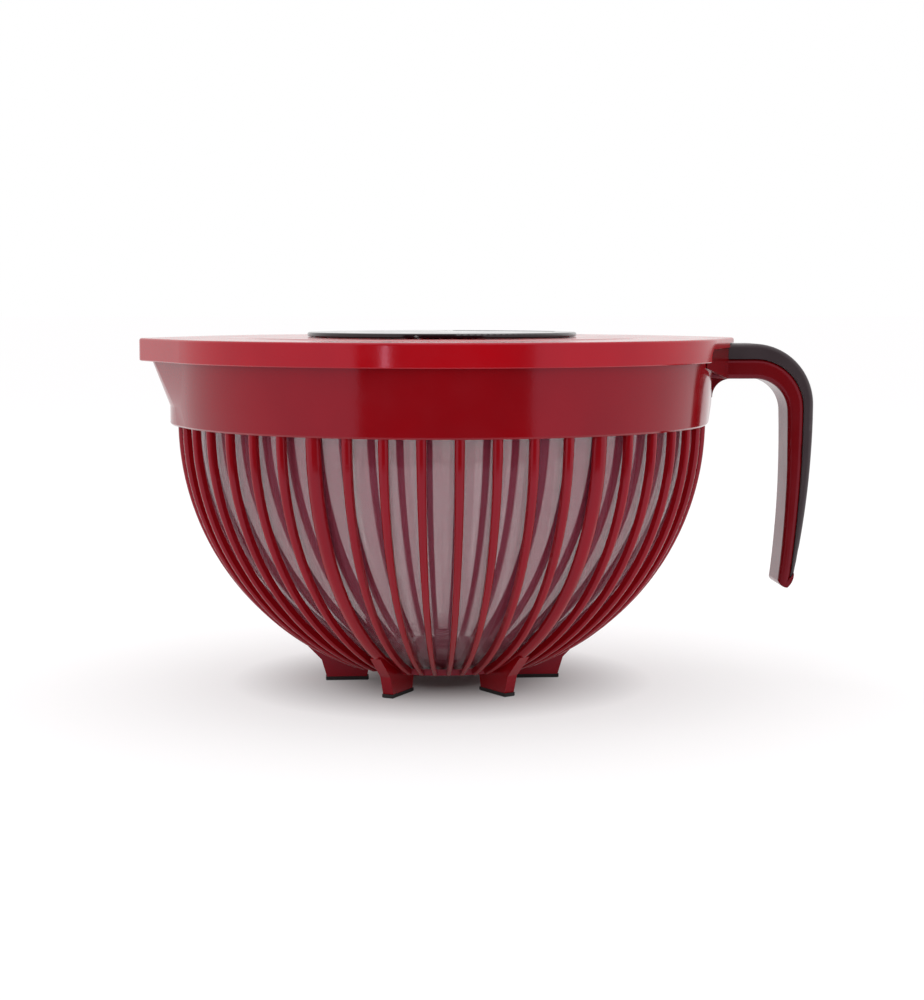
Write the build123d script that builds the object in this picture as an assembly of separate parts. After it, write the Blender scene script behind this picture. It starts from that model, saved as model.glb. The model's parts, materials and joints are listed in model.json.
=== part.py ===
from build123d import *
import math
import os

# Salad spinner, in millimetres. Heights are above the floor and radii are from the bowl's axis;
# each piece is moved on export so that the origin is under the middle of the whole object.

# Outer cage: ribs on a sphere that would just touch the floor
CAGE_R = 123.4
CAGE_Z = 123.4
RIB_DEPTH = 3.4
RIB_COUNT = 48
FOOT_COUNT = 6
THIN_RIB = (2.2, 4.3)
THICK_RIB = (5.4, 7.0)
RIB_BOTTOM_Z = 9.8
RIB_TOP_Z = 126.0
RIB_CROWN = 0.36
RIB_SECTIONS = 9
CAP_R = 46.5
CAP_TOP_Z = 12.6

# Rim band, with the spout's beak on -X and the handle's shoulder on +X
BAND_WALL = 2.4
BAND_BOTTOM_Z = 123.0
BAND_KINK_Z = 131.0
BAND_TOP_Z = 156.6
BAND_EDGE = 0.8
BAND_R = (124.4, 125.0, 127.0)
SPOUT_TIP = (126.9, 126.9, 137.0)
SPOUT_NOSE = (83.0, 83.0, 12.0)
SHOULDER_TIP = (125.9, 127.0, 128.2)
SHOULDER_NOSE = 60.0

# Feet
FIN_W = 5.2
PAD_H = 1.8
PAD_W = 5.6
PAD_R = (35.2, 55.5)

# Handle, as curves in the XZ plane
HANDLE_W = 23.0
ARM_TOP_Z = 159.1
ARM_BOTTOM_Z = 142.6
SEAM_Z = 152.0
GRIP_START_X = 133.9
BEND_X = 147.0
OUTER_REACH = 175.1
OUTER_BEND_R = 29.0
SEAM_REACH = 170.6
INNER_REACH = 162.8
HANDLE_END_Z = 48.6
ROOT_TOP_Z = 157.0
ROOT_SPREAD = 103.4

# Bowl
BOWL_R = 118.4
BOWL_WALL = 2.0
BOWL_FLOOR_Z = 13.0
BOWL_SPLIT_Z = 126.8
FLANGE_R = 126.3
FLANGE_TIP = 136.0
FLANGE_H = 1.8
PIVOT_R = 3.0
PIVOT_TOP_Z = 24.0

# Basket
BASKET_R = 113.5
BASKET_WALL = 1.6
BASKET_FLOOR_Z = 20.0
BASKET_RIM_Z = 146.0
BASKET_SLOTS = 40
DOG_COUNT = 6
DOG_W = 8.0

# Lid
LID_R = 130.0
LID_WALL = 2.2
LID_BOTTOM_Z = 151.5
LID_TOP_Z = 162.0
LID_PLATE = 1.8
LID_BEAK = 141.0
LID_TAB = 138.5
LID_NOSE = 10.0
PLATEAU_R = 90.0
PLATEAU_H = 0.4
WELL_R = 61.0
WELL_WALL = 2.2
WELL_BOTTOM_Z = 140.5
OPENING_R = 59.6

# Drive disc and its folding crank
DISC_R = 63.0
DISC_UNDER_Z = 162.7
DISC_EDGE_H = 2.0
DISC_DOME = 0.6
SKIRT_R = (54.0, 57.6)
SKIRT_BOTTOM_Z = 150.3
POCKET_W = 14.0
POCKET_X = (5.0, 53.0)
POCKET_FLOOR_Z = 152.8
POCKET_WALL = 1.5
HINGE_X = 47.5
HINGE_Z = 158.6
HINGE_PIN_R = 1.5
KNOB_R = 5.2
SPINDLE_R = 2.0

# Gear train: internal ring on the disc, three idlers on the lid, pinion in the middle
MODULE = 2.0
PRESSURE_ANGLE = 25.0
BACKLASH = 0.4
SUN_TEETH = 15
PLANET_TEETH = 18
RING_TEETH = 51
PLANET_COUNT = 3
GEAR_Z = (142.5, 149.5)
AXLE_R = 2.5
SHAFT_R = 5.0
RUNNING_GAP = 0.08
SNUG_GAP = 0.05
SCREW_COUNT = 6
COVER_SCREW_R = 67.0
RING_SCREW_R = 55.8
ORBIT = MODULE * (SUN_TEETH + PLANET_TEETH) / 2

SHIFT_X = (OUTER_REACH - LID_BEAK) / 2


# Helpers


def drum(radius, z0, z1, x=0.0, y=0.0):
    return Pos(x, y, z0) * Cylinder(radius, z1 - z0, align=(Align.CENTER, Align.CENTER, Align.MIN))


def tube(r_in, r_out, z0, z1, x=0.0, y=0.0):
    return drum(r_out, z0, z1, x, y) - drum(r_in, z0 - 1, z1 + 1, x, y)


def block(x0, x1, y0, y1, z0, z1):
    return Pos(x0, y0, z0) * Box(x1 - x0, y1 - y0, z1 - z0, align=(Align.MIN, Align.MIN, Align.MIN))


def ball(radius):
    return Pos(0, 0, CAGE_Z) * Sphere(radius)


def slab(z0, z1):
    return block(-200, 200, -200, 200, z0, z1)


def turned(points):
    return revolve(Plane.XZ * make_face(Polyline(*points, close=True)), Axis.Z)


def around(shape, count, start=0.0):
    return [Rot(0, 0, start + i * 360 / count) * shape for i in range(count)]


def drop(radius, r):
    """Height of the sphere of this radius about the cage's centre, at r from the axis."""
    return CAGE_Z - math.sqrt(radius**2 - r**2)


def outline(z, radius, tip, nose, back_tip=None, back_nose=None):
    """Circle drawn out to a rounded beak at -X, and to another at +X if back_tip is given."""
    lean = math.acos((radius - nose) / (tip - nose))
    cos_a, sin_a = math.cos(lean), math.sin(lean)
    centre = nose - tip
    far = (-radius * cos_a, radius * sin_a)
    near = (centre - nose * cos_a, nose * sin_a)
    beak = ThreePointArc(near, (-tip, 0), (near[0], -near[1]))
    edges = [Line(far, near), beak, Line((near[0], -near[1]), (far[0], -far[1]))]
    if back_tip is None:
        edges.append(ThreePointArc((far[0], -far[1]), (radius, 0), far))
    else:
        lean = math.acos((radius - back_nose) / (back_tip - back_nose))
        cos_b, sin_b = math.cos(lean), math.sin(lean)
        centre = back_tip - back_nose
        root = (radius * cos_b, radius * sin_b)
        end = (centre + back_nose * cos_b, back_nose * sin_b)
        edges.append(ThreePointArc((far[0], -far[1]), (0, -radius), (root[0], -root[1])))
        edges.append(Line((root[0], -root[1]), (end[0], -end[1])))
        edges.append(ThreePointArc((end[0], -end[1]), (back_tip, 0), end))
        edges.append(Line(end, root))
        edges.append(ThreePointArc(root, (0, radius), far))
    return Pos(0, 0, z) * make_face(edges)


def gear_face(teeth, root_r, tip_r, thinner):
    """Spur gear outline with involute flanks and a tooth centred on +X."""
    pitch_r = MODULE * teeth / 2
    base_r = pitch_r * math.cos(math.radians(PRESSURE_ANGLE))

    def involute(radius):
        a = math.acos(min(1.0, base_r / max(radius, base_r)))
        return math.tan(a) - a

    def half_angle(radius):
        return math.pi / (2 * teeth) + involute(pitch_r) - involute(radius) - thinner / (2 * pitch_r)

    steps = [root_r + (tip_r - root_r) * t for t in (0.0, 0.3, 0.65, 1.0)]
    points = []
    for i in range(teeth):
        middle = 2 * math.pi * i / teeth
        for radius in steps:
            points.append((radius, middle - half_angle(radius)))
        for radius in reversed(steps):
            points.append((radius, middle + half_angle(radius)))
    corners = [(r * math.cos(a), r * math.sin(a)) for r, a in points]
    return make_face(Polyline(*corners, close=True))


def gear(teeth, z0, z1):
    pitch_r = MODULE * teeth / 2
    face = gear_face(teeth, pitch_r - 1.25 * MODULE, pitch_r + MODULE, BACKLASH / 2)
    return Pos(0, 0, z0) * extrude(face, z1 - z0)


# Cage body


def rib_section(angle, width):
    """Cross-section of a rib, square inside and crowned outside, at this angle up from the pole."""
    crown = RIB_CROWN * width
    low = CAGE_R - RIB_DEPTH
    half = width / 2
    out = (math.sin(angle), 0, -math.cos(angle))
    plane = Plane(origin=(0, 0, CAGE_Z), x_dir=out, z_dir=(out[2], 0, -out[0]))
    edges = [
        Line((low, -half), (low, half)),
        Line((low, half), (CAGE_R - crown, half)),
        ThreePointArc((CAGE_R - crown, half), (CAGE_R, 0), (CAGE_R - crown, -half)),
        Line((CAGE_R - crown, -half), (low, -half)),
    ]
    return plane * make_face(edges)


def rib(widths):
    """One rib, wider at the top, on a sphere about the cage's centre."""
    foot, head = widths
    first = math.radians(19)
    last = math.pi / 2 + math.asin((RIB_TOP_Z - CAGE_Z) / CAGE_R)
    sections = []
    for i in range(RIB_SECTIONS):
        angle = first + (last - first) * i / (RIB_SECTIONS - 1)
        height = (math.cos(first) - math.cos(angle)) / (math.cos(first) - math.cos(last))
        sections.append(rib_section(angle, foot + (head - foot) * height))
    return loft(sections) & slab(RIB_BOTTOM_Z, 200)


def band_outer():
    heights = (BAND_BOTTOM_Z, BAND_KINK_Z, BAND_TOP_Z)
    sections = [
        outline(
            BAND_BOTTOM_Z - BAND_EDGE,
            BAND_R[0] - BAND_EDGE,
            SPOUT_TIP[0] - BAND_EDGE,
            SPOUT_NOSE[0] - BAND_EDGE,
            SHOULDER_TIP[0] - BAND_EDGE,
            SHOULDER_NOSE - BAND_EDGE,
        )
    ]
    for z, radius, tip, nose, shoulder in zip(heights, BAND_R, SPOUT_TIP, SPOUT_NOSE, SHOULDER_TIP):
        sections.append(outline(z, radius, tip, nose, shoulder, SHOULDER_NOSE))
    return loft(sections, ruled=True)


def band():
    inner_low = BAND_R[0] - BAND_WALL
    inner_high = BAND_R[2] - BAND_WALL
    cavity = loft(
        [
            outline(BAND_BOTTOM_Z - 3, inner_low - 0.2, inner_low + 0.1, inner_low - 3.5),
            outline(BAND_BOTTOM_Z + 3, inner_low + 0.2, inner_low + 0.6, inner_low - 4.2),
            outline(BAND_TOP_Z + 1, inner_high, SPOUT_TIP[2] - BAND_WALL + 0.4, SPOUT_NOSE[2] - BAND_WALL),
        ],
        ruled=True,
    )
    return band_outer() - cavity


def fin():
    """Foot fin under a thick rib, in the XZ plane, with its top buried in the rib."""
    low, high = PAD_R
    middle = CAGE_R - RIB_DEPTH / 2
    points = [
        (low + 0.8, PAD_H),
        (high - 0.5, PAD_H),
        (high + 2.0, 10.0),
        (67.0, drop(CAGE_R, COVER_SCREW_R)),
        (65.5, drop(middle, 65.5)),
        (50.0, drop(middle, 50.0)),
        (44.0, 11.5),
        (low - 1.2, 11.5),
    ]
    face = Plane.XZ * make_face(Polyline(*points, close=True))
    return extrude(face, FIN_W / 2, both=True)


def outer_cage():
    thin = rib(THIN_RIB)
    thick = rib(THICK_RIB)
    every = RIB_COUNT // FOOT_COUNT
    ribs = [
        Rot(0, 0, i * 360 / RIB_COUNT) * (thin if i % every else thick) for i in range(RIB_COUNT)
    ]
    cap = drum(CAP_R, RIB_BOTTOM_Z, CAP_TOP_Z)
    return band().fuse(cap, *ribs, *around(fin(), FOOT_COUNT))


def foot_pads():
    low, high = PAD_R
    pad = block(low, high, -PAD_W / 2, PAD_W / 2, 0, PAD_H)
    pad = chamfer(pad.edges().group_by(Axis.Z)[0], 0.4)
    return Compound(around(pad, FOOT_COUNT))


def seam_curve():
    """The line where grip and core meet, from the grip's start to its lower end."""
    bend_r = SEAM_REACH - BEND_X
    shoulder = (SEAM_REACH, SEAM_Z - bend_r)
    mid = (BEND_X + bend_r * math.sin(math.pi / 4), SEAM_Z - bend_r + bend_r * math.cos(math.pi / 4))
    return [
        Line((GRIP_START_X, SEAM_Z), (BEND_X, SEAM_Z)),
        ThreePointArc((BEND_X, SEAM_Z), mid, shoulder),
        TangentArc(shoulder, (SEAM_REACH - 5.2, HANDLE_END_Z), tangent=(0, -1)),
    ]


def handle_core():
    bend_r = INNER_REACH - BEND_X
    bend_z = ARM_BOTTOM_Z - bend_r
    mid = (BEND_X + bend_r * math.sin(math.pi / 4), bend_z + bend_r * math.cos(math.pi / 4))
    heel = (INNER_REACH - 3.4, HANDLE_END_Z - 1.8)
    tip = (INNER_REACH + 0.9, HANDLE_END_Z - 5.2)
    flush = (SEAM_REACH - 3.8, HANDLE_END_Z + 1.7)
    edges = seam_curve() + [
        Line((SEAM_REACH - 5.2, HANDLE_END_Z), flush),
        ThreePointArc(flush, (SEAM_REACH - 4.7, HANDLE_END_Z - 2.4), tip),
        ThreePointArc(tip, (INNER_REACH - 1.4, HANDLE_END_Z - 4.6), heel),
        ThreePointArc(heel, (INNER_REACH + 0.2, 98.0), (INNER_REACH, bend_z)),
        ThreePointArc((INNER_REACH, bend_z), mid, (BEND_X, ARM_BOTTOM_Z)),
        Line((BEND_X, ARM_BOTTOM_Z), (120, ARM_BOTTOM_Z)),
        Line((120, ARM_BOTTOM_Z), (120, ROOT_TOP_Z)),
        Line((120, ROOT_TOP_Z), (GRIP_START_X, ROOT_TOP_Z)),
        Line((GRIP_START_X, ROOT_TOP_Z), (GRIP_START_X, SEAM_Z)),
    ]
    core = extrude(Plane.XZ * make_face(edges), HANDLE_W / 2, both=True)
    inner = [
        e
        for e in core.edges()
        if abs(abs(e.center().Y) - HANDLE_W / 2) < 0.01
        and (abs(e.center().Z - ARM_BOTTOM_Z) < 0.1 or INNER_REACH - 8 < e.center().X < INNER_REACH + 1)
        and e.length > 20
    ]
    core = fillet(inner, 2.4)
    rim = outline(BAND_TOP_Z, BAND_R[2], SPOUT_TIP[2], SPOUT_NOSE[2], SHOULDER_TIP[2], SHOULDER_NOSE)
    return (core + handle_root()) - band_outer() - extrude(rim, 5)


def handle_root():
    """Straight flanks from the band to the arm, and a gusset under the arm."""
    half = HANDLE_W / 2
    spread = ROOT_SPREAD / 2
    plan = [(116, -spread), (GRIP_START_X, -half), (GRIP_START_X, half), (116, spread), (105, 0)]
    wedge = make_face(Polyline(*plan, close=True))
    wedge = Pos(0, 0, ARM_BOTTOM_Z) * extrude(wedge, ROOT_TOP_Z - ARM_BOTTOM_Z)
    slope = [(104, 153.0), (104, 130), (140, 130), (140, 140), (GRIP_START_X, ARM_BOTTOM_Z)]
    wedge = wedge - extrude(Plane.XZ * make_face(Polyline(*slope, close=True)), 80, both=True)
    gusset = make_face(
        [
            Line((120, ARM_BOTTOM_Z), (120, 134.0)),
            Line((120, 134.0), (126.8, 134.0)),
            ThreePointArc((126.8, 134.0), (129.1, 139.9), (135.2, ARM_BOTTOM_Z)),
            Line((135.2, ARM_BOTTOM_Z), (120, ARM_BOTTOM_Z)),
        ]
    )
    return wedge + extrude(Plane.XZ * gusset, half - 2.4, both=True)


def handle_grip():
    bend_z = ARM_TOP_Z - OUTER_BEND_R
    bend_x = OUTER_REACH - OUTER_BEND_R
    mid = (bend_x + OUTER_BEND_R * math.sin(math.pi / 4), bend_z + OUTER_BEND_R * math.cos(math.pi / 4))
    low = (SEAM_REACH - 3.4, HANDLE_END_Z + 2.2)
    edges = seam_curve() + [
        Line((SEAM_REACH - 5.2, HANDLE_END_Z), low),
        TangentArc((OUTER_REACH, bend_z), low, tangent=(0, -1)),
        ThreePointArc((OUTER_REACH, bend_z), mid, (bend_x, ARM_TOP_Z)),
        Line((bend_x, ARM_TOP_Z), (GRIP_START_X, ARM_TOP_Z)),
        Line((GRIP_START_X, ARM_TOP_Z), (GRIP_START_X, SEAM_Z)),
    ]
    grip = extrude(Plane.XZ * make_face(edges), HANDLE_W / 2, both=True)
    outer = [
        e
        for e in grip.edges()
        if abs(abs(e.center().Y) - HANDLE_W / 2) < 0.01
        and (
            e.center().Z > ARM_TOP_Z - 0.1
            or e.center().X > SEAM_REACH + 1
            or (e.center().X > bend_x + 18 and e.center().Z > bend_z + 18)
        )
    ]
    return fillet(outer, 2.2)


# Bowl body


def bowl():
    def cup(radius, floor_z, mouth_r, tip, nose, top_z):
        lip = radius + 0.1
        flat = math.sqrt(radius**2 - (CAGE_Z - floor_z) ** 2)
        side = ThreePointArc(
            (flat, floor_z),
            (radius * math.cos(math.radians(35)), CAGE_Z - radius * math.sin(math.radians(35))),
            (radius, CAGE_Z),
        )
        edges = [
            Line((0, floor_z), (flat, floor_z)),
            side,
            Line((radius, CAGE_Z), (lip, BOWL_SPLIT_Z)),
            Line((lip, BOWL_SPLIT_Z), (0, BOWL_SPLIT_Z)),
            Line((0, BOWL_SPLIT_Z), (0, floor_z)),
        ]
        low = revolve(Plane.XZ * make_face(edges), Axis.Z)
        waist = outline(BOWL_SPLIT_Z, lip, lip + 0.1, lip - 0.8)
        mouth = outline(top_z, mouth_r, tip, nose)
        return low + loft([waist, mouth], ruled=True)

    top = BAND_TOP_Z + 0.3 + FLANGE_H
    outer = cup(BOWL_R, BOWL_FLOOR_Z, 120.2, 133.8, 12.0, top)
    inner_r = BOWL_R - BOWL_WALL
    inner = cup(inner_r, BOWL_FLOOR_Z + 2.2, 118.2, 131.8, 10.0, top + 1)
    flange = extrude(outline(top - FLANGE_H, FLANGE_R, FLANGE_TIP, 12.0), FLANGE_H)
    boss = drum(8.0, BOWL_FLOOR_Z + 1, 19.0)
    socket = drum(PIVOT_R + SNUG_GAP, 14.4, 25)
    return (outer + flange - inner) + boss - socket


def pivot_pin():
    pin = drum(PIVOT_R, 14.5, PIVOT_TOP_Z)
    return chamfer(pin.edges().group_by(Axis.Z)[-1], 1.0)


# Basket body


def basket():
    def cup(radius, floor_z, top_z):
        flat = math.sqrt(radius**2 - (CAGE_Z - floor_z) ** 2)
        side = ThreePointArc(
            (flat, floor_z),
            (radius * math.cos(math.radians(35)), CAGE_Z - radius * math.sin(math.radians(35))),
            (radius, CAGE_Z),
        )
        edges = [
            Line((0, floor_z), (flat, floor_z)),
            side,
            Line((radius, CAGE_Z), (radius, top_z)),
            Line((radius, top_z), (0, top_z)),
            Line((0, top_z), (0, floor_z)),
        ]
        return revolve(Plane.XZ * make_face(edges), Axis.Z)

    inner_r = BASKET_R - BASKET_WALL
    shell = cup(BASKET_R, BASKET_FLOOR_Z, BASKET_RIM_Z)
    shell = shell + drum(BASKET_R + 1.2, BASKET_RIM_Z - 2.4, BASKET_RIM_Z)
    shell = shell - cup(inner_r, BASKET_FLOOR_Z + BASKET_WALL, BASKET_RIM_Z + 1)
    slot = Polygon((-1.0, 38), (1.0, 38), (2.2, 112), (-2.2, 112), align=None)
    slot = extrude(Plane.YZ.offset(50) * slot, 80)
    slots = around(slot, BASKET_SLOTS, 180 / BASKET_SLOTS)
    inner_holes = around(drum(2.5, BASKET_FLOOR_Z - 1, BASKET_FLOOR_Z + 3, 20), 8)
    outer_holes = around(drum(2.5, BASKET_FLOOR_Z - 1, BASKET_FLOOR_Z + 3, 34), 16)
    notch_w = DOG_W / 2 + 0.5
    notch = block(BASKET_R - 4, BASKET_R + 4, -notch_w, notch_w, BASKET_RIM_Z - 4.5, BASKET_RIM_Z + 1)
    hub = drum(10.0, BASKET_FLOOR_Z, 29.6)
    socket = drum(7.5, BASKET_FLOOR_Z - 1, 28.0)
    shell = shell.cut(*slots, *inner_holes, *outer_holes, *around(notch, DOG_COUNT))
    return shell + hub - socket


def basket_bush():
    bore = drum(PIVOT_R + RUNNING_GAP, BASKET_FLOOR_Z - 1, PIVOT_TOP_Z + 0.4)
    return drum(7.45, BASKET_FLOOR_Z, 27.95) - bore


# Lid body


def lid():
    inside_z = LID_TOP_Z - LID_PLATE
    rim = outline(LID_BOTTOM_Z, LID_R, LID_BEAK, LID_NOSE, LID_TAB, LID_NOSE)
    shell = extrude(rim, LID_TOP_Z - LID_BOTTOM_Z)
    shell = fillet(shell.edges().group_by(Axis.Z)[-1], 1.2)
    shell = chamfer(shell.edges().group_by(Axis.Z)[0], 0.4)
    cavity = outline(
        LID_BOTTOM_Z - 1,
        LID_R - LID_WALL,
        LID_BEAK - LID_WALL,
        LID_NOSE - LID_WALL,
        LID_TAB - LID_WALL,
        LID_NOSE - LID_WALL,
    )
    shell = shell - extrude(cavity, inside_z - LID_BOTTOM_Z + 1)
    # Arch over the handle's root, with a higher gap in the middle for the arm
    arch = RectangleRounded(112, 20, 4.5)
    arch = extrude(Plane.YZ.offset(100) * Pos(0, 157.4 - 10) * arch, 60)
    gap = block(100, 160, -HANDLE_W / 2 - 1.2, HANDLE_W / 2 + 1.2, LID_BOTTOM_Z - 1, ARM_TOP_Z + 0.4)
    shell = shell - (arch + gap - drum(124.0, LID_BOTTOM_Z - 10, LID_TOP_Z))
    raised_z = LID_TOP_Z + PLATEAU_H
    foot_r = PLATEAU_R + 2
    step = [(0, inside_z), (foot_r, inside_z), (foot_r, LID_TOP_Z), (PLATEAU_R, raised_z), (0, raised_z)]
    plateau = turned(step)
    wall = tube(WELL_R, WELL_R + WELL_WALL, WELL_BOTTOM_Z, inside_z + 0.5)
    collar = tube(OPENING_R - 1, WELL_R + 1, SKIRT_BOTTOM_Z + 0.7, inside_z + 0.5)
    locator = tube(113.4, 115.2, 154.0, inside_z + 0.5)
    seat = tube(119.2, 121.2, BAND_TOP_Z + FLANGE_H + 0.6, inside_z + 0.5)
    bosses = around(drum(4.6, WELL_BOTTOM_Z, inside_z + 0.5, COVER_SCREW_R), SCREW_COUNT, 30)
    shell = shell.fuse(plateau, wall, collar, locator, seat, *bosses)
    pilots = around(drum(1.3, WELL_BOTTOM_Z - 1, 154.0, COVER_SCREW_R), SCREW_COUNT, 30)
    opening = drum(OPENING_R, SKIRT_BOTTOM_Z, LID_TOP_Z + 5)
    well = drum(WELL_R, WELL_BOTTOM_Z - 1, SKIRT_BOTTOM_Z + 0.7)
    return shell.cut(opening, well, *pilots)


def lid_seal():
    return fillet(tube(115.25, 117.3, 155.8, 159.8).edges().group_by(Axis.Z)[0], 0.6)


def gear_cover():
    top = WELL_BOTTOM_Z
    plate = drum(71.5, top - 2, top)
    bosses = around(drum(5.5, top - 1, GEAR_Z[0] - 0.4, ORBIT), PLANET_COUNT)
    plate = plate.fuse(*bosses)
    axle_holes = around(drum(AXLE_R + SNUG_GAP, top - 3, GEAR_Z[0] + 1, ORBIT), PLANET_COUNT)
    screw_holes = around(drum(1.4, top - 3, top + 1, COVER_SCREW_R), SCREW_COUNT, 30)
    sinks = around(drum(2.8, top - 3, top - 0.4, COVER_SCREW_R), SCREW_COUNT, 30)
    centre = drum(7.5 + SNUG_GAP, top - 3, top + 1)
    return plate.cut(centre, *axle_holes, *screw_holes, *sinks)


def cover_screws():
    head = drum(2.6, WELL_BOTTOM_Z - 2, WELL_BOTTOM_Z - 0.5, COVER_SCREW_R)
    shank = drum(1.25, WELL_BOTTOM_Z - 1, 152.0, COVER_SCREW_R)
    blade = Pos(COVER_SCREW_R, 0, WELL_BOTTOM_Z - 2) * Box(3.2, 0.8, 1.6)
    cross = blade + Pos(COVER_SCREW_R, 0, WELL_BOTTOM_Z - 2) * Box(0.8, 3.2, 1.6)
    return Compound(around(head + shank - cross, SCREW_COUNT, 30))


def planet_pins():
    return Compound(around(drum(AXLE_R, WELL_BOTTOM_Z - 1.9, 150.8, ORBIT), PLANET_COUNT))


def planet_clips():
    clip = tube(AXLE_R + SNUG_GAP, 5.0, GEAR_Z[1] + 0.35, 150.5, ORBIT)
    slot = block(ORBIT - 1.6, ORBIT + 1.6, 0, 6, 149, 151)
    return Compound(around(clip - slot, PLANET_COUNT))


def shaft_bush():
    body = drum(7.5, WELL_BOTTOM_Z - 2, WELL_BOTTOM_Z + 0.2)
    body = body + drum(9.5, WELL_BOTTOM_Z + 0.05, GEAR_Z[0] - 0.5)
    return body - drum(SHAFT_R + RUNNING_GAP, 130, 150)


def bearing_ring():
    return tube(SKIRT_R[1] + RUNNING_GAP, OPENING_R - SNUG_GAP, 152.0, LID_TOP_Z + PLATEAU_H)


# Turning bodies


def planet_gear():
    wheel = gear(PLANET_TEETH, *GEAR_Z) - drum(AXLE_R + RUNNING_GAP, 130, 160)
    relief = tube(6.5, 13.0, GEAR_Z[1] - 1.5, GEAR_Z[1] + 1)
    return Pos(ORBIT, 0, 0) * Rot(0, 0, 180 / PLANET_TEETH) * (wheel - relief)


def sun_gear():
    wheel = gear(SUN_TEETH, *GEAR_Z)
    shaft = drum(SHAFT_R, 131.0, GEAR_Z[0] + 1)
    flat = block(SHAFT_R - 1.2, 10, -10, 10, 130.0, WELL_BOTTOM_Z - 3.5)
    pilot = drum(1.55, 125, GEAR_Z[0])
    return wheel + shaft - flat - pilot


def drive_plate():
    profile = [
        (0, 131.0),
        (11.0, 131.0),
        (11.0, 134.0),
        (74.0, 134.0),
        (100.0, 143.0),
        (108.0, 143.0),
        (108.0, 145.0),
        (99.6, 145.0),
        (73.6, 136.0),
        (11.0, 136.0),
        (11.0, 137.0),
        (0, 137.0),
    ]
    plate = turned(profile)
    dog = block(106.0, 113.2, -DOG_W / 2, DOG_W / 2, 142.3, 145.0)
    bore = drum(SHAFT_R + SNUG_GAP, 125, 140) - block(SHAFT_R - 1.2 + SNUG_GAP, 10, -10, 10, 120, 141)
    return plate.fuse(*around(dog, DOG_COUNT)) - bore


def drive_washer():
    return tube(1.6, 6.5, 129.8, 130.95)


def drive_screw():
    head = fillet(drum(3.4, 127.4, 129.75).edges().group_by(Axis.Z)[0], 0.8)
    cross = block(-2, 2, -0.45, 0.45, 120, 128.6) + block(-0.45, 0.45, -2, 2, 120, 128.6)
    return head + drum(1.5, 129.0, 139.0) - cross


def drive_disc():
    edge_z = DISC_UNDER_Z + DISC_EDGE_H
    chord = DISC_R - 1.0
    dome_r = (chord**2 + DISC_DOME**2) / (2 * DISC_DOME)
    mid_z = edge_z + DISC_DOME - dome_r + math.sqrt(dome_r**2 - chord**2 / 4)
    dome = make_face(
        [
            Line((0, DISC_UNDER_Z), (DISC_R - 0.4, DISC_UNDER_Z)),
            Line((DISC_R - 0.4, DISC_UNDER_Z), (DISC_R, DISC_UNDER_Z + 0.4)),
            Line((DISC_R, DISC_UNDER_Z + 0.4), (DISC_R, edge_z - 0.9)),
            ThreePointArc((DISC_R, edge_z - 0.9), (DISC_R - 0.28, edge_z - 0.25), (DISC_R - 1.0, edge_z)),
            ThreePointArc((DISC_R - 1.0, edge_z), (chord / 2, mid_z), (0, edge_z + DISC_DOME)),
            Line((0, edge_z + DISC_DOME), (0, DISC_UNDER_Z)),
        ]
    )
    disc = revolve(Plane.XZ * dome, Axis.Z)
    skirt = tube(*SKIRT_R, SKIRT_BOTTOM_Z, DISC_UNDER_Z + 0.5)
    half = POCKET_W / 2
    box = block(
        POCKET_X[0] - POCKET_WALL,
        POCKET_X[1] + 2,
        -half - POCKET_WALL,
        half + POCKET_WALL,
        POCKET_FLOOR_Z - POCKET_WALL,
        DISC_UNDER_Z + 0.5,
    )
    pocket = block(*POCKET_X, -half, half, POCKET_FLOOR_Z, edge_z + 3)
    pocket = fillet(pocket.edges().filter_by(Axis.Z), 2.0)
    hinge_hole = Pos(HINGE_X, 0, HINGE_Z) * Rot(90, 0, 0) * Cylinder(HINGE_PIN_R + SNUG_GAP, 2 * half + 2.6)
    pilots = around(drum(0.95, SKIRT_BOTTOM_Z - 1, 158.5, RING_SCREW_R), SCREW_COUNT, 30)
    return (disc.fuse(skirt, box)).cut(pocket, hinge_hole, *pilots)


def ring_gear():
    pitch_r = MODULE * RING_TEETH / 2
    teeth = gear_face(RING_TEETH, pitch_r - MODULE, pitch_r + 1.25 * MODULE, -BACKLASH / 2)
    teeth = Pos(0, 0, GEAR_Z[0] - 1) * Rot(0, 0, 180 / RING_TEETH) * extrude(teeth, 20)
    body = drum(60.2, GEAR_Z[0], SKIRT_BOTTOM_Z)
    holes = around(drum(1.2, GEAR_Z[0] - 1, 155, RING_SCREW_R), SCREW_COUNT, 30)
    sinks = around(drum(2.0, GEAR_Z[0] - 1, GEAR_Z[0] + 1.8, RING_SCREW_R), SCREW_COUNT, 30)
    return body.cut(teeth, *holes, *sinks)


def ring_screws():
    head = drum(1.9, GEAR_Z[0] + 0.2, GEAR_Z[0] + 1.75, RING_SCREW_R)
    shank = drum(0.9, GEAR_Z[0] + 1, 158.0, RING_SCREW_R)
    return Compound(around(head + shank, SCREW_COUNT, 30))


def hinge_pin():
    return Pos(HINGE_X, 0, HINGE_Z) * Rot(90, 0, 0) * Cylinder(HINGE_PIN_R, POCKET_W + 2.4)


def crank_arm():
    half = POCKET_W / 2 - 0.6
    barrel = Pos(HINGE_X, 0, HINGE_Z) * Rot(90, 0, 0) * Cylinder(4.6, 2 * half)
    neck = block(HINGE_X - 5.5, HINGE_X, -half, half, HINGE_Z - 4.3, HINGE_Z + 4.3)
    neck = fillet(neck.edges().filter_by(Axis.Z).group_by(Axis.X)[0], 1.5)
    bore = Pos(HINGE_X, 0, HINGE_Z) * Rot(90, 0, 0) * Cylinder(HINGE_PIN_R + RUNNING_GAP, 40)
    socket = Pos(HINGE_X - 5.6, 0, HINGE_Z) * Rot(0, 90, 0) * Cylinder(SPINDLE_R + SNUG_GAP, 6.0)
    return barrel + neck - bore - socket


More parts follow.
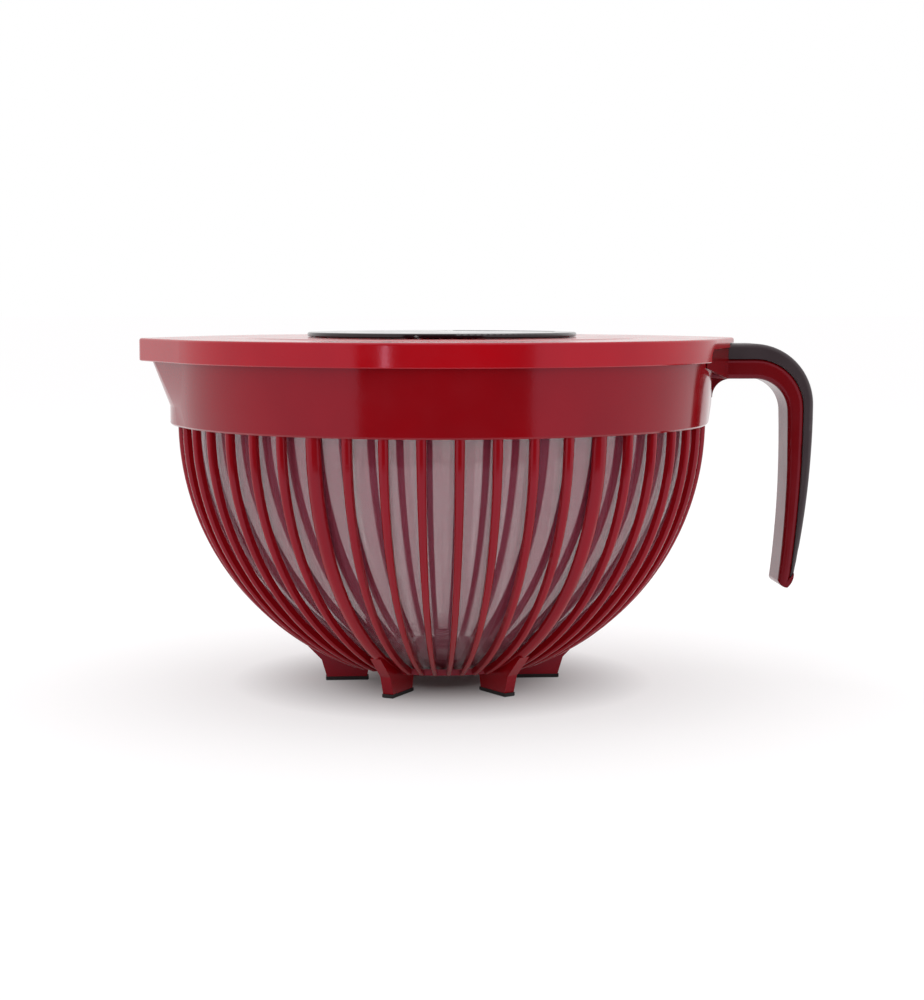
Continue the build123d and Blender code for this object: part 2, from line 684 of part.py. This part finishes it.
def along_x(radius, x0, x1):
    turn = Rot(0, 90, 0) * Cylinder(radius, x1 - x0, align=(Align.CENTER, Align.CENTER, Align.MIN))
    return Pos(x0, 0, HINGE_Z) * turn


def knob_spindle():
    return along_x(SPINDLE_R, 9.0, HINGE_X - 2.7) + along_x(3.0, 7.6, 9.1)


def knob():
    x0, x1 = 7.4, HINGE_X - 5.9
    middle = (x0 + x1) / 2
    profile = make_face(
        [
            Line((x0, 0), (x0, KNOB_R - 1.8)),
            ThreePointArc((x0, KNOB_R - 1.8), (x0 + 0.5, KNOB_R - 1.0), (x0 + 1.4, KNOB_R - 0.6)),
            ThreePointArc((x0 + 1.4, KNOB_R - 0.6), (middle, KNOB_R), (x1 - 1.0, KNOB_R - 0.6)),
            Line((x1 - 1.0, KNOB_R - 0.6), (x1, KNOB_R - 1.4)),
            Line((x1, KNOB_R - 1.4), (x1, 0)),
            Line((x1, 0), (x0, 0)),
        ]
    )
    body = Pos(0, 0, HINGE_Z) * revolve(Plane.XZ * profile, Axis.X)
    return body - along_x(SPINDLE_R + RUNNING_GAP, 0, 60) - along_x(3.4, 0, 9.5)


def planet(index):
    return Rot(0, 0, index * 360 / PLANET_COUNT) * planet_gear()


NODES = {
    "outer_cage": outer_cage,
    "foot_pads": foot_pads,
    "handle_core": handle_core,
    "handle_grip": handle_grip,
    "bowl": bowl,
    "pivot_pin": pivot_pin,
    "basket": basket,
    "basket_bush": basket_bush,
    "lid": lid,
    "lid_seal": lid_seal,
    "gear_cover": gear_cover,
    "cover_screws": cover_screws,
    "planet_pins": planet_pins,
    "planet_clips": planet_clips,
    "shaft_bush": shaft_bush,
    "bearing_ring": bearing_ring,
    "planet_gear_1": lambda: planet(0),
    "planet_gear_2": lambda: planet(1),
    "planet_gear_3": lambda: planet(2),
    "sun_gear": sun_gear,
    "drive_plate": drive_plate,
    "drive_washer": drive_washer,
    "drive_screw": drive_screw,
    "drive_disc": drive_disc,
    "ring_gear": ring_gear,
    "ring_screws": ring_screws,
    "hinge_pin": hinge_pin,
    "crank_arm": crank_arm,
    "knob_spindle": knob_spindle,
    "knob": knob,
}

os.makedirs("parts", exist_ok=True)
for name, make in NODES.items():
    export_step(Pos(-SHIFT_X, 0, 0) * make(), f"parts/{name}.step")
    print(name, "written")
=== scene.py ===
"""Salad spinner: materials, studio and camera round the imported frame.

Metres, +Z up, handle at +X, spout at -X.
"""

import json
import math

import bpy
from mathutils import Matrix, Vector


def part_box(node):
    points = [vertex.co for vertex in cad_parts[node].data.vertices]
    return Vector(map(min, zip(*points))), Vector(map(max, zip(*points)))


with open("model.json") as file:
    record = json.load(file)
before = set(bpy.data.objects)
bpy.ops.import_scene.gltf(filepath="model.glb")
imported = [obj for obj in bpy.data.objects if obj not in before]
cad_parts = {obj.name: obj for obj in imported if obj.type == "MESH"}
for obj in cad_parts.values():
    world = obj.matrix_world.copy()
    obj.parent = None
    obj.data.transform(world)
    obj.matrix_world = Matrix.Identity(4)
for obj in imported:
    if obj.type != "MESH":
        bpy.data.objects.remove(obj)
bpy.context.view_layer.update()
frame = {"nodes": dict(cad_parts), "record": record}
NODES = frame["nodes"]

# The bowl's axis stands here in the row frame
AXIS_X = (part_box("basket")[0].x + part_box("basket")[1].x) / 2

# Camera, measured from the bowl's axis: distance, sideways offset, height and angles;
# its lens and sensor are in millimetres
CAM_DISTANCE = 0.9324
CAM_SIDE = 0.009355
CAM_HEIGHT = 0.17724
CAM_BEARING = math.radians(-94.0)
CAM_PITCH = 0.09827
CAM_LENS = 77.0961
CAM_SENSOR = 36
CAM_CLIP = (0.02, 100)

# White floor with painted light: a glow of its own, which fades towards the bowl's axis between the
# two distances below, so that the real shadow is lifted away from the bowl and stays dark only under
# it
FLOOR_HALF = 30.0
FLOOR_TONE = (0.5, 0.497, 0.5, 1)
FLOOR_GLOW_TONE = (1, 0.99, 0.995, 1)
FLOOR_GLOW = 0.5
FLOOR_GLOW_FROM, FLOOR_GLOW_FULL = 0.02, 0.1

# Dark flag behind the camera, and a flat dark apron just above the floor, from the flag towards
# the object, which reflects both
FLAG_BEARING = CAM_BEARING + 0.03
FLAG_SPREAD = math.radians(33)
FLAG_R = 1.15
FLAG_TOP = 0.75
APRON_R = 0.47
APRON_Z = 0.002
FLAG_TONE = (0.004, 0.003, 0.003)

# Narrow bright strip to the left of the camera, for a thin upright highlight
STRIP_BEARING = math.radians(-114.2)
STRIP_SPREAD = math.radians(0.9)
STRIP_R = 1.1
STRIP_BOTTOM, STRIP_TOP = 0.05, 0.3
STRIP_TONE = (1, 0.95, 0.95)
STRIP_GLOW = 7.0

# Straight pieces in a bent card
CARD_STEPS = 24

# Even white surround
WORLD_TONE = (1, 1, 1, 1)
WORLD_STRENGTH = 1.0

# Noise, in features per metre: slow drift of tone and of polish, and a moulding's broad waves
TONE_DRIFT = 25.0
POLISH_DRIFT = 75.0
WAVES = 18.0

# Height of the broad waves on the reds, in metres
RED_WAVE = 0.00004

# Cool pink cast that the reds give to what they reflect
RED_GLOSS = (1.0, 0.6, 0.82)


def srgb(r, g, b):
    """8-bit display colour as the linear RGBA that a shader takes."""
    out = []
    for c in (r / 255, g / 255, b / 255):
        out.append(c / 12.92 if c <= 0.04045 else ((c + 0.055) / 1.055) ** 2.4)
    return (*out, 1.0)


def shaded(tone, part):
    """Colour with its red, green and blue multiplied by part."""
    return tuple(min(1.0, c * part) for c in tone[:3]) + (1.0,)


def noise(tree, scale, detail=3.0, stretch=(1, 1, 1)):
    """Noise over the object's own coordinates, in features per metre."""
    coords = tree.nodes.new("ShaderNodeTexCoord")
    mapping = tree.nodes.new("ShaderNodeMapping")
    mapping.inputs["Scale"].default_value = stretch
    texture = tree.nodes.new("ShaderNodeTexNoise")
    texture.inputs["Scale"].default_value = scale
    texture.inputs["Detail"].default_value = detail
    tree.links.new(coords.outputs["Object"], mapping.inputs["Vector"])
    tree.links.new(mapping.outputs["Vector"], texture.inputs["Vector"])
    return texture.outputs["Fac"]


def ramp(tree, value, low, high, start=0.35, end=0.65):
    """A number that goes from low to high as value goes from start to end."""
    node = tree.nodes.new("ShaderNodeMapRange")
    node.inputs["From Min"].default_value = start
    node.inputs["From Max"].default_value = end
    node.inputs["To Min"].default_value = low
    node.inputs["To Max"].default_value = high
    tree.links.new(value, node.inputs["Value"])
    return node.outputs["Result"]


def relief(tree, height, depth, strength):
    """Bump node that raises the surface by height, up to depth in metres."""
    node = tree.nodes.new("ShaderNodeBump")
    node.inputs["Distance"].default_value = depth
    node.inputs["Strength"].default_value = strength
    tree.links.new(height, node.inputs["Height"])
    return node


def new_shader(name):
    """Material with its node tree and its principled shader."""
    mat = bpy.data.materials.new(name)
    mat.use_nodes = True
    return mat, mat.node_tree, mat.node_tree.nodes["Principled BSDF"]


def surface(
    name,
    color,
    rough=(0.1, 0.16),
    vary=0.06,
    grain=900.0,
    grain_depth=0.00002,
    wave_depth=0.0,
    ior=1.46,
    alpha=1.0,
    metallic=0.0,
    stretch=(1, 1, 1),
    tint=(1, 1, 1),
    sheen=0.0,
):
    """Material whose tone and polish drift slowly, with a fine grain and perhaps broad waves."""
    mat, tree, shader = new_shader(name)
    mix = tree.nodes.new("ShaderNodeMix")
    mix.data_type = "RGBA"
    mix.inputs["A"].default_value = shaded(color, 1 - vary)
    mix.inputs["B"].default_value = shaded(color, 1 + vary)
    tree.links.new(ramp(tree, noise(tree, TONE_DRIFT), 0.0, 1.0), mix.inputs["Factor"])
    tree.links.new(mix.outputs["Result"], shader.inputs["Base Color"])
    polish = ramp(tree, noise(tree, POLISH_DRIFT, detail=4.0, stretch=stretch), *rough)
    tree.links.new(polish, shader.inputs["Roughness"])
    shader.inputs["IOR"].default_value = ior
    shader.inputs["Metallic"].default_value = metallic
    shader.inputs["Alpha"].default_value = alpha
    shader.inputs["Specular Tint"].default_value = (*tint, 1.0)
    shader.inputs["Sheen Weight"].default_value = sheen
    fine_height = noise(tree, grain, detail=2.0, stretch=stretch)
    fine = relief(tree, fine_height, grain_depth, strength=0.6)
    if wave_depth:
        broad = relief(tree, noise(tree, WAVES, detail=1.0), wave_depth, strength=1.0)
        tree.links.new(broad.outputs["Normal"], fine.inputs["Normal"])
    tree.links.new(fine.outputs["Normal"], shader.inputs["Normal"])
    return mat


# One look for each material slot of the record

LOOKS = {
    "cage_red": dict(color=srgb(131, 9, 17), ior=1.41, tint=RED_GLOSS, wave_depth=RED_WAVE),
    "lid_red": dict(color=srgb(163, 9, 20), ior=1.46, tint=RED_GLOSS, wave_depth=RED_WAVE),
    "handle_red": dict(
        color=srgb(103, 9, 14), rough=(0.16, 0.24), ior=1.36, tint=RED_GLOSS, wave_depth=RED_WAVE
    ),
    "grip_soft": dict(
        color=srgb(46, 30, 36), rough=(0.38, 0.48), grain=2600.0, grain_depth=0.00005, sheen=0.15
    ),
    "pad_rubber": dict(
        color=srgb(30, 24, 25), rough=(0.6, 0.75), grain=2000.0, grain_depth=0.00006
    ),
    "bowl_smoke": dict(
        color=srgb(140, 54, 72), rough=(0.05, 0.09), alpha=0.34, tint=RED_GLOSS, vary=0.04
    ),
    "basket_clear": dict(
        color=srgb(192, 122, 138), rough=(0.3, 0.4), alpha=0.08, tint=RED_GLOSS, vary=0.03
    ),
    "seal_silicone": dict(color=srgb(170, 168, 165), rough=(0.45, 0.6), grain=1500.0),
    "cover_grey": dict(
        color=srgb(60, 58, 60), rough=(0.4, 0.5), grain=1800.0, grain_depth=0.00004
    ),
    "white_acetal": dict(color=srgb(226, 224, 216), rough=(0.28, 0.36), grain=1600.0),
    "steel": dict(
        color=(0.56, 0.56, 0.57, 1),
        rough=(0.22, 0.34),
        metallic=1.0,
        stretch=(1, 1, 14),
        grain=400.0,
    ),
    "disc_dark": dict(color=srgb(34, 22, 26), rough=(0.06, 0.12), wave_depth=0.00003),
    "knob_dark": dict(
        color=srgb(46, 36, 40), rough=(0.3, 0.4), grain=2400.0, grain_depth=0.00004
    ),
}

MATERIALS = {slot: surface(slot, **look) for slot, look in LOOKS.items()}

for part in frame["record"]["subparts"]:
    node = NODES[part["node"]]
    finish = MATERIALS[part["material_slot"]]
    if not node.material_slots:
        node.data.materials.append(finish)
    for slot in node.material_slots:
        slot.material = finish


# Studio


def add_object(name, data):
    obj = bpy.data.objects.new(name, data)
    bpy.context.scene.collection.objects.link(obj)
    return obj


def stage_mesh(name, points, faces, mat):
    data = bpy.data.meshes.new(name)
    data.from_pydata(points, [], faces)
    obj = add_object(name, data)
    data.materials.append(mat)
    return obj


def looking(place, aim):
    """Pose of a camera or light that stands at place and looks along aim."""
    turn = aim.to_track_quat("-Z", "Y")
    return Matrix.Translation(place) @ turn.to_matrix().to_4x4()


def studio_floor():
    mat, tree, shader = new_shader("floor_white_painted_glow")
    shader.inputs["Base Color"].default_value = FLOOR_TONE
    shader.inputs["Specular IOR Level"].default_value = 0.0
    shader.inputs["Emission Color"].default_value = FLOOR_GLOW_TONE
    # Painted light: the floor glows, less near the bowl's axis, which lightens its shadow away from
    # the bowl
    coords = tree.nodes.new("ShaderNodeTexCoord")
    away = tree.nodes.new("ShaderNodeVectorMath")
    away.operation = "DISTANCE"
    away.inputs[1].default_value = (AXIS_X, 0, 0)
    tree.links.new(coords.outputs["Object"], away.inputs[0])
    glow = ramp(tree, away.outputs["Value"], 0.0, FLOOR_GLOW, FLOOR_GLOW_FROM, FLOOR_GLOW_FULL)
    tree.links.new(glow, shader.inputs["Emission Strength"])
    h = FLOOR_HALF
    stage_mesh("floor", [(-h, -h, 0), (h, -h, 0), (h, h, 0), (-h, h, 0)], [(0, 1, 2, 3)], mat)


def card(name, color, glow):
    """Plain card material: black for a flag, glowing for a reflected panel."""
    mat, _, shader = new_shader(name)
    shader.inputs["Base Color"].default_value = (*color, 1)
    shader.inputs["Specular IOR Level"].default_value = 0.0
    shader.inputs["Emission Color"].default_value = (*color, 1)
    shader.inputs["Emission Strength"].default_value = glow
    return mat


def curved_card(name, edges, bearing, spread, mat):
    """Card bent round the bowl's axis between two edges, each a radius and a height.

    It shows in glossy reflections and nowhere else.
    """
    points = []
    for i in range(CARD_STEPS + 1):
        a = bearing - spread + 2 * spread * i / CARD_STEPS
        for radius, height in edges:
            points.append((AXIS_X + radius * math.cos(a), radius * math.sin(a), height))
    faces = [(2 * i, 2 * i + 2, 2 * i + 3, 2 * i + 1) for i in range(CARD_STEPS)]
    obj = stage_mesh(name, points, faces, mat)
    obj.visible_camera = False
    obj.visible_shadow = False
    obj.visible_transmission = False
    obj.visible_diffuse = False


def area_light(name, size, energy, place, target):
    light = bpy.data.lights.new(name, "AREA")
    light.shape = "RECTANGLE"
    light.size, light.size_y = size
    light.energy = energy
    add_object(name, light).matrix_world = looking(place, Vector(target) - Vector(place))


def build_world():
    world = bpy.data.worlds.new("studio")
    bpy.context.scene.world = world
    world.use_nodes = True
    background = world.node_tree.nodes["Background"]
    background.inputs["Color"].default_value = WORLD_TONE
    background.inputs["Strength"].default_value = WORLD_STRENGTH


def build_camera():
    toward = Vector((math.cos(CAM_BEARING), math.sin(CAM_BEARING), 0))
    right = Vector((-toward.y, toward.x, 0))
    place = Vector((AXIS_X, 0, CAM_HEIGHT)) + toward * CAM_DISTANCE + right * CAM_SIDE
    aim = -toward * math.cos(CAM_PITCH) - Vector((0, 0, math.sin(CAM_PITCH)))
    data = bpy.data.cameras.new("camera")
    data.sensor_fit = "HORIZONTAL"
    data.sensor_width = CAM_SENSOR
    data.lens = CAM_LENS
    data.clip_start, data.clip_end = CAM_CLIP
    camera = add_object("camera", data)
    camera.matrix_world = looking(place, aim)
    bpy.context.scene.camera = camera


studio_floor()
black = card("card_black", FLAG_TONE, 0.0)
curved_card("flag", [(FLAG_R, 0.0), (FLAG_R, FLAG_TOP)], FLAG_BEARING, FLAG_SPREAD, black)
curved_card("apron", [(FLAG_R, APRON_Z), (APRON_R, APRON_Z)], FLAG_BEARING, FLAG_SPREAD, black)
bright = card("card_glow", STRIP_TONE, STRIP_GLOW)
strip_edges = [(STRIP_R, STRIP_BOTTOM), (STRIP_R, STRIP_TOP)]
curved_card("strip", strip_edges, STRIP_BEARING, STRIP_SPREAD, bright)
area_light("top_soft", size=(1.4, 1.2), energy=5.0, place=(AXIS_X, 0.25, 1.35), target=(AXIS_X, 0, 0))
build_world()
build_camera()

scene = bpy.context.scene
scene.view_settings.view_transform = "Standard"
scene.view_settings.look = "None"
# A ray through the bowl, the basket and its slots crosses many clear walls
scene.cycles.transparent_max_bounces = 24
